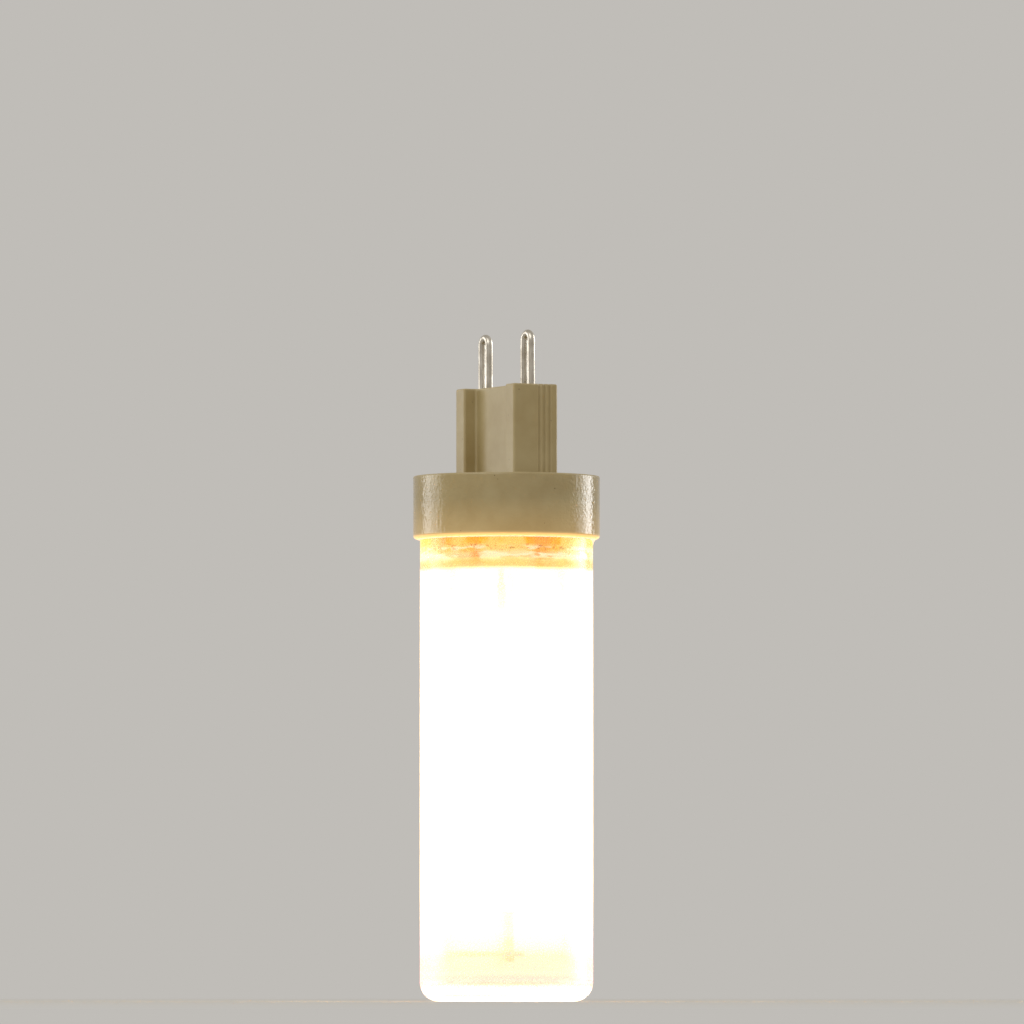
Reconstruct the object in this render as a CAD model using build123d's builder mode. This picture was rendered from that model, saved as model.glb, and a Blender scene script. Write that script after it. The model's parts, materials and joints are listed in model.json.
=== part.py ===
from build123d import *

import os
from math import cos, radians, sin, sqrt

os.makedirs("parts", exist_ok=True)

# Frosted tubular LED capsule bulb with a two-loop plug-in base, hung as it works, with its loops up.
# The origin is the centre of the collar's seat face, the plane that stops against the holder's mouth.
# +Z runs up the plug and X runs through both wire loops. Sizes are in millimetres, angles in degrees.

# Glass capsule, a tube closed to a flat end
capsule_diameter = 17.3
glass_wall = 1.0
glass_end_thickness = 1.4
glass_end_radius = 1.9
glass_bore_end_chamfer = 0.8

# Ceramic base, pressed in one piece: collar, roof, inner spigot and plug tongue
collar_wall = 0.55
collar_height = 6.3
collar_roof = 2.0
collar_edge_chamfer = 0.15
rim_land = 0.13
spigot_reach = 8.35
spigot_wall = 1.1

# Cement that beds the glass in the groove between collar and spigot
cement_gap = 0.15
cement_bed = 0.3
cement_setback = 1.15

# Plug tongue, a thin web between two thick ribs that hold the wire loops
tongue_thickness = 5.0
tongue_length = 9.0
tongue_web_thickness = 2.2
tongue_rib_width = 1.9
tongue_side_wall = 0.575
tongue_corner_radius = 0.25
tongue_tip_chamfer = 0.2
flute_count = 3
flute_width = 0.3
flute_depth = 0.12
flute_inset = 0.62
flute_spacing = 0.58

# Wire loops, each bent from one length of wire whose long leg runs down to the board
loop_pitch = 9.0
loop_leg_spacing = 1.5
loop_projection = 5.5
loop_anchor_depth = 2.8
pin_wire_diameter = 0.75
pin_bore_clearance = 0.05

# Round driver board, glued to the end of the spigot
board_thickness = 1.0
board_edge_clearance = 0.05

# Light-emitting filaments, hung round the axis as a slightly twisted cage
filament_count = 4
filament_bearing = -29.0
filament_twist = 8.4
filament_wall_gap = 1.1
filament_end_gap = 2.55
filament_width = 1.6
filament_depth = 1.3
filament_length = 30.2
substrate_overhang = 2.4
terminal_width = 0.86
terminal_thickness = 0.3
upper_terminal_length = 2.6
lower_terminal_length = 2.4

# Lead posts under the board, and flat bridge strips across the filaments' far ends
lead_diameter = 0.5
lead_gap = 1.6
lead_overlap = 1.6
bridge_height = 0.5
bridge_thickness = 0.25
bridge_stub = 1.4
bridge_from_tip = 0.8

# Driver components on the board's upper face
component_gap = 0.3
chip_lead_thickness = 0.2
chip_edge_chamfer = 0.2
rectifier_length = 3.6
rectifier_width = 2.6
rectifier_height = 1.3
rectifier_lead_reach = 0.6
rectifier_lead_width = 0.6
rectifier_lead_spacing = 1.5
driver_chip_length = 2.9
driver_chip_width = 1.6
driver_chip_height = 1.1
driver_chip_lead_reach = 0.5
driver_chip_lead_width = 0.4
driver_chip_lead_spacing = 0.95
driver_chip_leads_per_side = 3
capacitor_length = 3.2
capacitor_width = 2.5
capacitor_height = 1.8
capacitor_bearing = 90.0
resistor_length = 2.0
resistor_width = 1.25
resistor_height = 0.45
fuse_resistor_bearing = 35.0
sense_resistor_bearing = 145.0
end_cap_length = 0.4
end_cap_rise = 0.06

# Radii and widths that follow from the sizes above
capsule_radius = capsule_diameter / 2
glass_bore_radius = capsule_radius - glass_wall
socket_radius = capsule_radius + cement_gap
collar_radius = socket_radius + collar_wall
spigot_radius = glass_bore_radius - cement_gap
spigot_bore_radius = spigot_radius - spigot_wall
component_circle = spigot_bore_radius - component_gap
pin_bore_diameter = pin_wire_diameter + 2 * pin_bore_clearance
short_leg_spread = loop_pitch + loop_leg_spacing
long_leg_spread = loop_pitch - loop_leg_spacing
tongue_width = short_leg_spread + pin_bore_diameter + 2 * tongue_side_wall
tongue_panel_width = tongue_width - 2 * tongue_rib_width
filament_step = 360 / filament_count
filament_circle = glass_bore_radius - filament_wall_gap - filament_depth / 2
filament_distance = filament_circle * cos(radians(filament_twist / 2))
filament_half_lean = filament_circle * sin(radians(filament_twist / 2))
lead_distance = filament_distance - terminal_thickness / 2 - lead_diameter / 2
bridge_distance = filament_distance - terminal_thickness / 2 - bridge_thickness / 2

# Levels, from the seat face down
groove_floor = -collar_roof
glass_top = groove_floor - cement_bed
cement_foot = cement_setback - spigot_reach
board_top = -spigot_reach
board_bottom = board_top - board_thickness
cage_top = board_bottom - lead_gap
lead_foot = cage_top - lead_overlap
filament_top = cage_top - upper_terminal_length
filament_foot = filament_top - filament_length
cage_foot = filament_foot - substrate_overhang - lower_terminal_length
bridge_level = cage_foot + bridge_from_tip
glass_floor = cage_foot - filament_end_gap
glass_end = glass_floor - glass_end_thickness


def lean_at(level):
    """Sideways place of a filament's centre line at a level."""
    return filament_half_lean * (cage_top + cage_foot - 2 * level) / (cage_top - cage_foot)


def cage_plane(bearing, level):
    """Level plane on the axis, with X outward along a bearing and Y sideways round the cage."""
    return Plane.XY.offset(level).rotated((0, 0, bearing))


def filament_plane(bearing, level):
    """Plane square to a leaning filament at a level, with X outward and Z up along the filament."""
    centre, top, foot = (
        cage_plane(bearing, height).from_local_coords(Vector(filament_distance, lean_at(height)))
        for height in (level, cage_top, cage_foot)
    )
    return Plane(origin=centre, x_dir=cage_plane(bearing, level).x_dir, z_dir=top - foot)


# Glass capsule
with BuildPart() as glass_capsule:
    with BuildSketch(Plane.XZ):
        with BuildLine():
            FilletPolyline(
                (0, glass_end),
                (capsule_radius, glass_end),
                (capsule_radius, glass_top),
                radius=glass_end_radius,
            )
            Line((capsule_radius, glass_top), (glass_bore_radius, glass_top))
            Polyline(
                (glass_bore_radius, glass_top),
                (glass_bore_radius, glass_floor + glass_bore_end_chamfer),
                (glass_bore_radius - glass_bore_end_chamfer, glass_floor),
                (0, glass_floor),
                (0, glass_end),
            )
        make_face()
    revolve(axis=Axis.Z)
glass_capsule.part.label = "glass_capsule"
export_step(glass_capsule.part, "parts/glass_capsule.step")

# Ceramic base
with BuildPart() as ceramic_base:
    with BuildSketch(Plane.XZ):
        with BuildLine():
            Polyline(
                (0, 0),
                (collar_radius, 0),
                (collar_radius, -collar_height),
                (socket_radius, -collar_height),
                (socket_radius, groove_floor),
                (spigot_radius, groove_floor),
                (spigot_radius, board_top),
                (spigot_bore_radius, board_top),
                (spigot_bore_radius, groove_floor),
                (0, groove_floor),
                close=True,
            )
        make_face()
    revolve(axis=Axis.Z)
    collar_edges = ceramic_base.edges().filter_by(GeomType.CIRCLE).group_by(SortBy.RADIUS)[-1]
    chamfer(collar_edges.sort_by(Axis.Z)[-1], length=collar_edge_chamfer)
    chamfer(collar_edges.sort_by(Axis.Z)[0], length=collar_wall - rim_land)

    # Plug tongue, sunk between its ribs on both broad faces
    with BuildSketch():
        RectangleRounded(tongue_width, tongue_thickness, tongue_corner_radius)
        with GridLocations(0, tongue_web_thickness + tongue_thickness, 1, 2):
            Rectangle(tongue_panel_width, tongue_thickness, mode=Mode.SUBTRACT)
    extrude(amount=tongue_length)
    chamfer(ceramic_base.faces().sort_by(Axis.Z)[-1].edges(), length=tongue_tip_chamfer)

    # Fine upright flutes by one edge of each narrow face
    with BuildSketch(Plane.XY.offset(tongue_length)):
        for place in range(flute_count):
            inset = tongue_corner_radius + flute_inset + place * flute_spacing
            with Locations((0, tongue_thickness / 2 - inset)):
                with GridLocations(tongue_width, 0, 2, 1):
                    Rectangle(2 * flute_depth, flute_width)
    extrude(amount=-tongue_length, mode=Mode.SUBTRACT)

    # Bores for the wire loops, blind for the short legs and through the roof for the long ones
    with Locations((0, 0, tongue_length)):
        with GridLocations(short_leg_spread, 0, 2, 1):
            Hole(pin_bore_diameter / 2, depth=loop_anchor_depth)
        with GridLocations(long_leg_spread, 0, 2, 1):
            Hole(pin_bore_diameter / 2, depth=tongue_length + collar_roof)
ceramic_base.part.label = "ceramic_base"
export_step(ceramic_base.part, "parts/ceramic_base.step")

# Cement ring, of U section round the glass's upper end
with BuildPart() as cement_ring:
    with BuildSketch(Plane.XZ):
        with BuildLine():
            Polyline(
                (socket_radius, -collar_height),
                (socket_radius, groove_floor),
                (spigot_radius, groove_floor),
                (spigot_radius, cement_foot),
                (glass_bore_radius, cement_foot),
                (glass_bore_radius, glass_top),
                (capsule_radius, glass_top),
                (capsule_radius, -collar_height),
                close=True,
            )
        make_face()
    revolve(axis=Axis.Z)
cement_ring.part.label = "cement_ring"
export_step(cement_ring.part, "parts/cement_ring.step")

# Wire loops, left and right
loop_crest = tongue_length + loop_projection - pin_wire_diameter / 2
bend_level = loop_crest - loop_leg_spacing / 2
for side, direction in (("left", -1), ("right", 1)):
    short_leg = direction * short_leg_spread / 2
    long_leg = direction * long_leg_spread / 2
    with BuildPart() as pin_loop:
        with BuildLine(Plane.XZ) as wire:
            Line((short_leg, tongue_length - loop_anchor_depth), (short_leg, bend_level))
            ThreePointArc(
                (short_leg, bend_level),
                (direction * loop_pitch / 2, loop_crest),
                (long_leg, bend_level),
            )
            Line((long_leg, bend_level), (long_leg, board_top))
        with BuildSketch(Plane(wire.line ^ 0)):
            Circle(pin_wire_diameter / 2)
        sweep(path=wire.line)
    pin_loop.part.label = f"pin_loop_{side}"
    export_step(pin_loop.part, f"parts/pin_loop_{side}.step")

# Driver board
with BuildPart() as driver_board:
    with BuildSketch(Plane.XY.offset(board_bottom)):
        Circle(spigot_radius - board_edge_clearance)
    extrude(amount=board_thickness)
driver_board.part.label = "driver_board"
export_step(driver_board.part, "parts/driver_board.step")

# Filaments, each a coated strip with a bare lower end, its two metal terminals and its lead post
for number in range(1, filament_count + 1):
    bearing = filament_bearing + (number - 1) * filament_step
    top_plane = filament_plane(bearing, filament_top)
    foot_plane = filament_plane(bearing, filament_foot)

    with BuildPart() as filament:
        with BuildSketch(foot_plane):
            Ellipse(filament_depth / 2, filament_width / 2)
        extrude(amount=(top_plane.origin - foot_plane.origin).length)
        with BuildSketch(foot_plane):
            Rectangle(terminal_thickness, terminal_width)
        extrude(amount=-substrate_overhang)
    filament.part.label = f"filament_{number}"
    export_step(filament.part, f"parts/filament_{number}.step")

    with BuildPart() as upper_terminal:
        with BuildSketch(top_plane):
            Rectangle(terminal_thickness, terminal_width)
        extrude(amount=upper_terminal_length)
    upper_terminal.part.label = f"upper_terminal_{number}"
    export_step(upper_terminal.part, f"parts/upper_terminal_{number}.step")

    with BuildPart() as lower_terminal:
        with BuildSketch(foot_plane.offset(-substrate_overhang)):
            Rectangle(terminal_thickness, terminal_width)
        extrude(amount=-lower_terminal_length)
    lower_terminal.part.label = f"lower_terminal_{number}"
    export_step(lower_terminal.part, f"parts/lower_terminal_{number}.step")

    with BuildPart() as lead_post:
        with BuildSketch(cage_plane(bearing, lead_foot)):
            with Locations((lead_distance, lean_at(cage_top))):
                Circle(lead_diameter / 2)
        extrude(amount=board_bottom - lead_foot)
    lead_post.part.label = f"lead_post_{number}"
    export_step(lead_post.part, f"parts/lead_post_{number}.step")

# Bridge strips, each welded inside the lower terminals of two neighbours with a stub past both
for number in range(1, filament_count // 2 + 1):
    bearing = filament_bearing + (number - 1) * 2 * filament_step
    with BuildPart() as bridge_strip:
        with BuildLine(cage_plane(bearing, bridge_level)) as route:
            Line((bridge_distance, lean_at(bridge_level) + bridge_stub), (bridge_distance, 0))
            bend = CenterArc((0, 0), bridge_distance, 0, -filament_step)
            Line(bend @ 1, bend @ 1 + (bend % 1) * bridge_stub)
        with BuildSketch(Plane(route.line ^ 0)):
            Rectangle(bridge_thickness, bridge_height)
        sweep(path=route.line)
    bridge_strip.part.label = f"bridge_strip_{number}"
    export_step(bridge_strip.part, f"parts/bridge_strip_{number}.step")


def rim_distance(length, width):
    """Distance from the axis at which a component of this footprint just fits inside the spigot."""
    return sqrt(component_circle**2 - (length / 2) ** 2) - width / 2


# Bridge rectifier in the middle of the board, with two flat leads out of each end
with BuildPart() as bridge_rectifier:
    with BuildSketch(Plane.XY.offset(board_top)):
        Rectangle(rectifier_length, rectifier_width)
    extrude(amount=rectifier_height)
    chamfer(bridge_rectifier.faces().sort_by(Axis.Z)[-1].edges(), length=chip_edge_chamfer)
    with BuildSketch(Plane.XY.offset(board_top)):
        with GridLocations(0, rectifier_lead_spacing, 1, 2):
            Rectangle(rectifier_length + 2 * rectifier_lead_reach, rectifier_lead_width)
    extrude(amount=chip_lead_thickness)
bridge_rectifier.part.label = "bridge_rectifier"
export_step(bridge_rectifier.part, "parts/bridge_rectifier.step")

# Driver chip beside it, with leads along both long sides
driver_chip_span = driver_chip_width + 2 * driver_chip_lead_reach
driver_chip_place = (0, -rim_distance(driver_chip_length, driver_chip_span))
with BuildPart() as driver_chip:
    with BuildSketch(Plane.XY.offset(board_top)):
        with Locations(driver_chip_place):
            Rectangle(driver_chip_length, driver_chip_width)
    extrude(amount=driver_chip_height)
    chamfer(driver_chip.faces().sort_by(Axis.Z)[-1].edges(), length=chip_edge_chamfer)
    with BuildSketch(Plane.XY.offset(board_top)):
        with Locations(driver_chip_place):
            with GridLocations(driver_chip_lead_spacing, 0, driver_chip_leads_per_side, 1):
                Rectangle(driver_chip_lead_width, driver_chip_span)
    extrude(amount=chip_lead_thickness)
driver_chip.part.label = "driver_chip"
export_step(driver_chip.part, "parts/driver_chip.step")

# Chip capacitor and resistors, blocks with raised metal end caps, set round the spigot's wall
for name, bearing, length, width, height in (
    ("smoothing_capacitor", capacitor_bearing, capacitor_length, capacitor_width, capacitor_height),
    ("fuse_resistor", fuse_resistor_bearing, resistor_length, resistor_width, resistor_height),
    ("sense_resistor", sense_resistor_bearing, resistor_length, resistor_width, resistor_height),
):
    with BuildPart() as component:
        with BuildSketch(cage_plane(bearing, board_top)):
            with Locations((rim_distance(length, width), 0)):
                Rectangle(width, length)
        extrude(amount=height)
        with BuildSketch(cage_plane(bearing, board_top + height)):
            with Locations((rim_distance(length, width), 0)):
                with GridLocations(0, length - end_cap_length, 1, 2):
                    Rectangle(width, end_cap_length)
        extrude(amount=end_cap_rise)
    component.part.label = name
    export_step(component.part, f"parts/{name}.step")
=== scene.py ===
# %% [markdown]
# # Dressing a lit capsule bulb
# The bulb is a frosted glass tube, cemented into a glazed ceramic base with two wire loops on top.
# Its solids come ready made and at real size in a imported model, so nothing here is moved or resized.
# What is left for Blender is the look: soft glazed edges, gritty cement, drawn wire and, above all,
# glass that glows from inside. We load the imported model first, because it places every piece below.

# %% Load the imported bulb
import json
import math

import bmesh
import bpy
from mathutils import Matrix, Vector, noise

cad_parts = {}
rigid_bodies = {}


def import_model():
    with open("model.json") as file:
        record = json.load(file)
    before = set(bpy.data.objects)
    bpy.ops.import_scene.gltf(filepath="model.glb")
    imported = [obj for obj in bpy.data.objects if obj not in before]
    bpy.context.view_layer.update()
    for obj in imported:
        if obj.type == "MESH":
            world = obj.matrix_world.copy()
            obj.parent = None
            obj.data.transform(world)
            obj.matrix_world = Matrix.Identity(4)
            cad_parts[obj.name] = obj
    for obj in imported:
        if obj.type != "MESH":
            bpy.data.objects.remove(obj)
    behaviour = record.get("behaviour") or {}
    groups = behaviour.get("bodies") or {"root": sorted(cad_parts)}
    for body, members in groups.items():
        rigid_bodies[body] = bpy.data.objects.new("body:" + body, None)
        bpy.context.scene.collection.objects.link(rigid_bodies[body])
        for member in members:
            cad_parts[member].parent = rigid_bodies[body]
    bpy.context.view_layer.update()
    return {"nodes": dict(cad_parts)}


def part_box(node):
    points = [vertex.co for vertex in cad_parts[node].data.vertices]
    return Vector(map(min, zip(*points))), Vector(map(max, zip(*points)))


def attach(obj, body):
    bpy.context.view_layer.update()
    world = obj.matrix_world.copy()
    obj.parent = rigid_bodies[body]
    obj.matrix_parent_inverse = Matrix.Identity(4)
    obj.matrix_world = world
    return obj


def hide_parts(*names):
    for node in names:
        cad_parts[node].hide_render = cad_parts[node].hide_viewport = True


for leftover in list(bpy.data.objects):
    bpy.data.objects.remove(leftover)
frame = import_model()
nodes = frame["nodes"]
MM = 0.001

# %% [markdown]
# ## A lathe of our own
# Glass, collar, cement and solder are all round, so most of this bulb can be drawn as half a section
# and turned about an axis. Blender's Screw modifier does that too, but a small function lets the
# section change with the angle, which is how the cement gets its ragged edge. We draw in millimetres
# and scale once, when a mesh becomes an object.

# %% Arc and lathe
TURN_STEPS = 144
ARC_STEPS = 8


def arc(centre, radius, start, end):
    """Points along an arc in a section, between two angles in degrees."""
    angles = [math.radians(start + (end - start) * step / ARC_STEPS) for step in range(ARC_STEPS + 1)]
    return [(centre[0] + radius * math.cos(a), centre[1] + radius * math.sin(a)) for a in angles]


def turn(section_at, centre=(0, 0), steps=TURN_STEPS):
    """Turns a section of (distance, height) points, which may change with the angle, about an axis."""
    bm = bmesh.new()
    poles = {}
    columns = []
    for step in range(steps):
        angle = math.tau * step / steps
        column = []
        for place, (distance, height) in enumerate(section_at(angle)):
            spot = (centre[0] + distance * math.cos(angle), centre[1] + distance * math.sin(angle), height)
            if distance > 0:
                column.append(bm.verts.new(spot))
                continue
            if place not in poles:
                poles[place] = bm.verts.new(spot)
            column.append(poles[place])
        columns.append(column)
    for step in range(steps):
        here, there = columns[step - 1], columns[step]
        for place in range(1 if poles else 0, len(here)):
            corners = [here[place - 1], there[place - 1], there[place], here[place]]
            bm.faces.new(list(dict.fromkeys(corners)))
    bmesh.ops.recalc_face_normals(bm, faces=bm.faces)
    return bm


print(f"the lathe turns in {TURN_STEPS} steps")

# %% [markdown]
# ## From a drawn mesh to a piece of the bulb
# Each new piece rides on the bulb's only body, takes a finish, and may stand in for a solid of the
# imported model. Smooth shading with sharp edges kept, plus weighted normals, makes small roundings
# catch the light while flat faces stay flat.

# %% Piece maker
SHARP_ANGLE = math.radians(40)


def add_piece(name, bm, finish, slot, *replaced):
    """Makes an object from a mesh drawn in millimetres and fits it to the bulb."""
    bmesh.ops.scale(bm, vec=(MM, MM, MM), verts=bm.verts)
    mesh = bpy.data.meshes.new(name)
    bm.to_mesh(mesh)
    bm.free()
    mesh.shade_smooth()
    mesh.set_sharp_from_angle(angle=SHARP_ANGLE)
    mesh.materials.append(finish)
    made = bpy.data.objects.new(name, mesh)
    bpy.context.collection.objects.link(made)
    made.modifiers.new("even_shading", "WEIGHTED_NORMAL").keep_sharp = True
    fit_piece(made, slot, *replaced)
    print(f"{name}: {len(mesh.polygons)} faces, in place of {', '.join(replaced) or 'nothing'}")


def fit_piece(made, slot, *replaced):
    """Hangs a piece on the bulb and hides the solids that it stands for. The slot is not used."""
    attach(made, "root")
    if replaced:
        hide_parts(*replaced)


def dress(finish, *names):
    """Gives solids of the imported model, whose shape is already right, a finish."""
    for name in names:
        for slot in nodes[name].material_slots:
            slot.material = finish
    print(f"{finish.name} on {', '.join(names)}")


# %% [markdown]
# ## Short words for shader nodes
# A finish is a small network of nodes round one Principled shader. These helpers add a node, do a sum
# and set up a colour ramp, so that each finish below reads as a recipe. Positions are taken from the
# object and turned into millimetres, which makes every texture scale a real size.

# %% Node helpers


def colour(red, green, blue):
    """A colour as a screen shows it, 0 to 255, as the linear colour that shaders use."""
    parts = [value / 255 for value in (red, green, blue)]
    return (*[part / 12.92 if part < 0.04045 else ((part + 0.055) / 1.055) ** 2.4 for part in parts], 1)


def new_finish(name):
    """A new material, its node tree and its Principled shader."""
    finish = bpy.data.materials.new(name)
    finish.use_nodes = True
    return finish, finish.node_tree, finish.node_tree.nodes["Principled BSDF"]


def add_node(tree, kind, inputs, **settings):
    """Adds a node. An input that is a socket is linked, and any other is set."""
    made = tree.nodes.new("ShaderNode" + kind)
    for key, value in settings.items():
        setattr(made, key, value)
    for key, value in inputs.items():
        if isinstance(value, bpy.types.NodeSocket):
            tree.links.new(value, made.inputs[key])
        else:
            made.inputs[key].default_value = value
    return made


def calculate(tree, operation, *values):
    """The result of a Math node."""
    return add_node(tree, "Math", dict(enumerate(values)), operation=operation).outputs[0]


def ramp(tree, factor, *stops):
    """The colour of a ramp with stops of (place, colour), where a bare number is a grey."""
    made = add_node(tree, "ValToRGB", {"Fac": factor})
    shades = [shade if isinstance(shade, tuple) else (shade, shade, shade, 1) for _, shade in stops]
    band = made.color_ramp
    band.elements[0].position = stops[0][0]
    band.elements[0].color = shades[0]
    band.elements[1].position = stops[-1][0]
    band.elements[1].color = shades[-1]
    for (place, _), shade in list(zip(stops, shades))[1:-1]:
        band.elements.new(place).color = shade
    return made.outputs["Color"]


def millimetres(tree):
    """Where a point is on the object, in millimetres."""
    where = add_node(tree, "TexCoord", {}).outputs["Object"]
    return add_node(tree, "VectorMath", {0: where, "Scale": 1 / MM}, operation="SCALE").outputs[0]


def height_of(tree, where):
    """How high a point is above the seat."""
    return add_node(tree, "SeparateXYZ", {"Vector": where}).outputs["Z"]


def radius_of(tree, where):
    """How far a point is from the bulb's axis."""
    flat = add_node(tree, "VectorMath", {0: where, 1: (1, 1, 0)}, operation="MULTIPLY").outputs[0]
    return add_node(tree, "VectorMath", {0: flat}, operation="LENGTH").outputs["Value"]


def grain(tree, where, size, detail=3.0, roughness=0.55):
    """Noise whose blots are about this many millimetres across."""
    inputs = {"Vector": where, "Scale": 1 / size, "Detail": detail, "Roughness": roughness}
    return add_node(tree, "TexNoise", inputs).outputs["Fac"]


def emboss(tree, shader, height, depth):
    """Raises the surface by a height map, to a depth in millimetres."""
    inputs = {"Height": height, "Distance": depth * MM, "Strength": 1.0}
    tree.links.new(add_node(tree, "Bump", inputs).outputs["Normal"], shader.inputs["Normal"])


print("node helpers ready")

# %% [markdown]
# ## Finish: glazed ceramic
# The base is pressed steatite under a thin cream glaze. Such a glaze is never quite flat: it dries with
# a skin like orange peel, which breaks up the edges of every reflection. A flat cream would look like
# plastic, so the recipe has three scales: slow clouds of tone, the peel as a bump, and rare dark specks.
# The glaze runs thin above the seat, so the tongue is matt and almost without peel. And the ceramic is
# translucent: at the collar's rim it lets the lamp's light through, and a painted glow, a little emission,
# stands for it.

# %% Glazed ceramic
GLAZE_PALE = colour(174, 157, 114)
GLAZE_DEEP = colour(162, 143, 98)
GLAZE_SPECK = colour(116, 98, 66)
CLOUD_SIZE = 4.5
PEEL_SIZE = 0.36
PEEL_DEPTH = 0.05
PEEL_GLOSS = 0.18
GLAZE_IOR = 1.55
THIN_FROM = -0.3
THIN_TO = -0.05
THIN_SHIFT = 1.0
THIN_MATT = 0.3
THIN_FLATTENS = 0.85
SPECK_SIZE = 1.3
RIM_LIGHT = (1.0, 0.56, 0.17, 1)
RIM_GLOW = ((2.5, 0.0), (5.8, 0.14), (5.95, 0.3), (6.1, 0.9), (6.3, 1.2), (6.6, 0.0))
RIM_SPAN = 10.0
RIM_INSIDE = 8.85


def glazed_ceramic():
    """Cream glaze with slow clouds, orange peel, a few specks and a painted glow at the rim."""
    finish, tree, shader = new_finish("glazed_ceramic")
    where = millimetres(tree)
    clouds = ramp(tree, grain(tree, where, CLOUD_SIZE), (0.35, GLAZE_DEEP), (0.65, GLAZE_PALE))
    cells = add_node(tree, "TexVoronoi", {"Vector": where, "Scale": 1 / SPECK_SIZE})
    speck = ramp(tree, cells.outputs["Distance"], (0.035, 1.0), (0.06, 0.0))
    mixed = add_node(tree, "Mix", {0: speck, 6: clouds, 7: GLAZE_SPECK}, data_type="RGBA")
    tree.links.new(mixed.outputs[2], shader.inputs["Base Color"])
    height = height_of(tree, where)
    shifted = calculate(tree, "ADD", height, THIN_SHIFT)
    thin = ramp(tree, shifted, (THIN_FROM + THIN_SHIFT, 0.0), (THIN_TO + THIN_SHIFT, 1.0))
    peel = grain(tree, where, PEEL_SIZE, detail=1.5)
    matt = calculate(tree, "MULTIPLY", thin, THIN_MATT)
    tree.links.new(calculate(tree, "MULTIPLY_ADD", peel, PEEL_GLOSS, matt), shader.inputs["Roughness"])
    shader.inputs["IOR"].default_value = GLAZE_IOR
    flow = calculate(tree, "MULTIPLY_ADD", thin, -THIN_FLATTENS, 1.0)
    emboss(tree, shader, calculate(tree, "MULTIPLY", peel, flow), PEEL_DEPTH)
    # painted glow: emission on the collar's rim stands for the lamp's light that comes through the ceramic
    depth = calculate(tree, "DIVIDE", height, -RIM_SPAN)
    outside = calculate(tree, "GREATER_THAN", radius_of(tree, where), RIM_INSIDE)
    painted_rim_glow = ramp(tree, depth, *[(place / RIM_SPAN, glow) for place, glow in RIM_GLOW])
    tree.links.new(calculate(tree, "MULTIPLY", painted_rim_glow, outside), shader.inputs["Emission Strength"])
    shader.inputs["Emission Color"].default_value = RIM_LIGHT
    return finish


ceramic = glazed_ceramic()
print(f"finish {ceramic.name}")

# %% [markdown]
# ## Piece: the ceramic base
# The real base is one pressing: a collar round the glass, a spigot inside it, and a flat tongue that
# plugs in. The glaze rounds every edge, so we turn the collar from a section with arcs at its corners
# and stack outlines for the tongue, each inset a little more towards the tip.

# %% Collar and spigot section
base_low, base_high = (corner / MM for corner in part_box("ceramic_base"))
cement_low, cement_high = (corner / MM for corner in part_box("cement_ring"))
collar_radius = base_high.x
socket_radius = cement_high.x
groove_floor = cement_high.z
spigot_end = base_low.z
COLLAR_HEIGHT = 6.3
COLLAR_TOP_ROUND = 0.18
COLLAR_RIM_ROUND = 0.42
SPIGOT_RADIUS = 7.5
SPIGOT_BORE_RADIUS = 6.4

collar_section = [
    (0, 0),
    *arc((collar_radius - COLLAR_TOP_ROUND, -COLLAR_TOP_ROUND), COLLAR_TOP_ROUND, 90, 0),
    *arc((collar_radius - COLLAR_RIM_ROUND, COLLAR_RIM_ROUND - COLLAR_HEIGHT), COLLAR_RIM_ROUND, 0, -90),
    (socket_radius, -COLLAR_HEIGHT),
    (socket_radius, groove_floor),
    (SPIGOT_RADIUS, groove_floor),
    (SPIGOT_RADIUS, spigot_end),
    (SPIGOT_BORE_RADIUS, spigot_end),
    (SPIGOT_BORE_RADIUS, groove_floor),
    (0, groove_floor),
]
print(f"collar {2 * collar_radius:.1f} mm across, section of {len(collar_section)} points")

# %% Tongue outline
TONGUE_WIDTH = 12.5
TONGUE_THICKNESS = 5.0
TONGUE_WEB = 2.2
TONGUE_RIB = 1.9
CORNER_ROUND = 0.25
LIP_ROUND = 0.25
ROOT_ROUND = 0.25
FLUTES = (0.47, 1.05, 1.63)
FLUTE_WIDTH = 0.4
FLUTE_DEPTH = 0.12
FLUTE_STEPS = 10


def flute(middle):
    """Points of (place, depth) across one flute, which is half a wave of the cosine."""
    shares = [step / FLUTE_STEPS - 0.5 for step in range(FLUTE_STEPS + 1)]
    return [(middle + FLUTE_WIDTH * share, FLUTE_DEPTH * math.cos(math.pi * share)) for share in shares]


def tongue_half(inset, flutes):
    """One broad side of the tongue's H outline, with flutes in its narrow faces at these places."""
    half_width = TONGUE_WIDTH / 2
    half_thick = TONGUE_THICKNESS / 2
    half_panel = half_width - TONGUE_RIB
    straight = half_thick - CORNER_ROUND
    quarter = [(half_width - inset - depth, place) for middle in flutes for place, depth in flute(middle)]
    quarter += arc((half_width - CORNER_ROUND, straight), CORNER_ROUND - inset, 0, 90)
    quarter += arc((half_panel + LIP_ROUND, half_thick - LIP_ROUND), LIP_ROUND - inset, 90, 180)
    quarter += arc((half_panel - ROOT_ROUND, TONGUE_WEB / 2 + ROOT_ROUND), ROOT_ROUND + inset, 0, -90)
    return quarter + [(-x, y) for x, y in reversed(quarter)]


def tongue_outline(inset):
    """The tongue's H outline, drawn in by an inset, as points that go round it."""
    return tongue_half(inset, FLUTES) + [(-x, -y) for x, y in tongue_half(inset, ())]


print(f"tongue outline of {len(tongue_outline(0))} points")

# %% Tongue body
FOOT_FILLET = 0.2
TIP_ROUND = 0.2
FOOT_SUNK = 0.4
tongue_length = base_high.z


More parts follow.
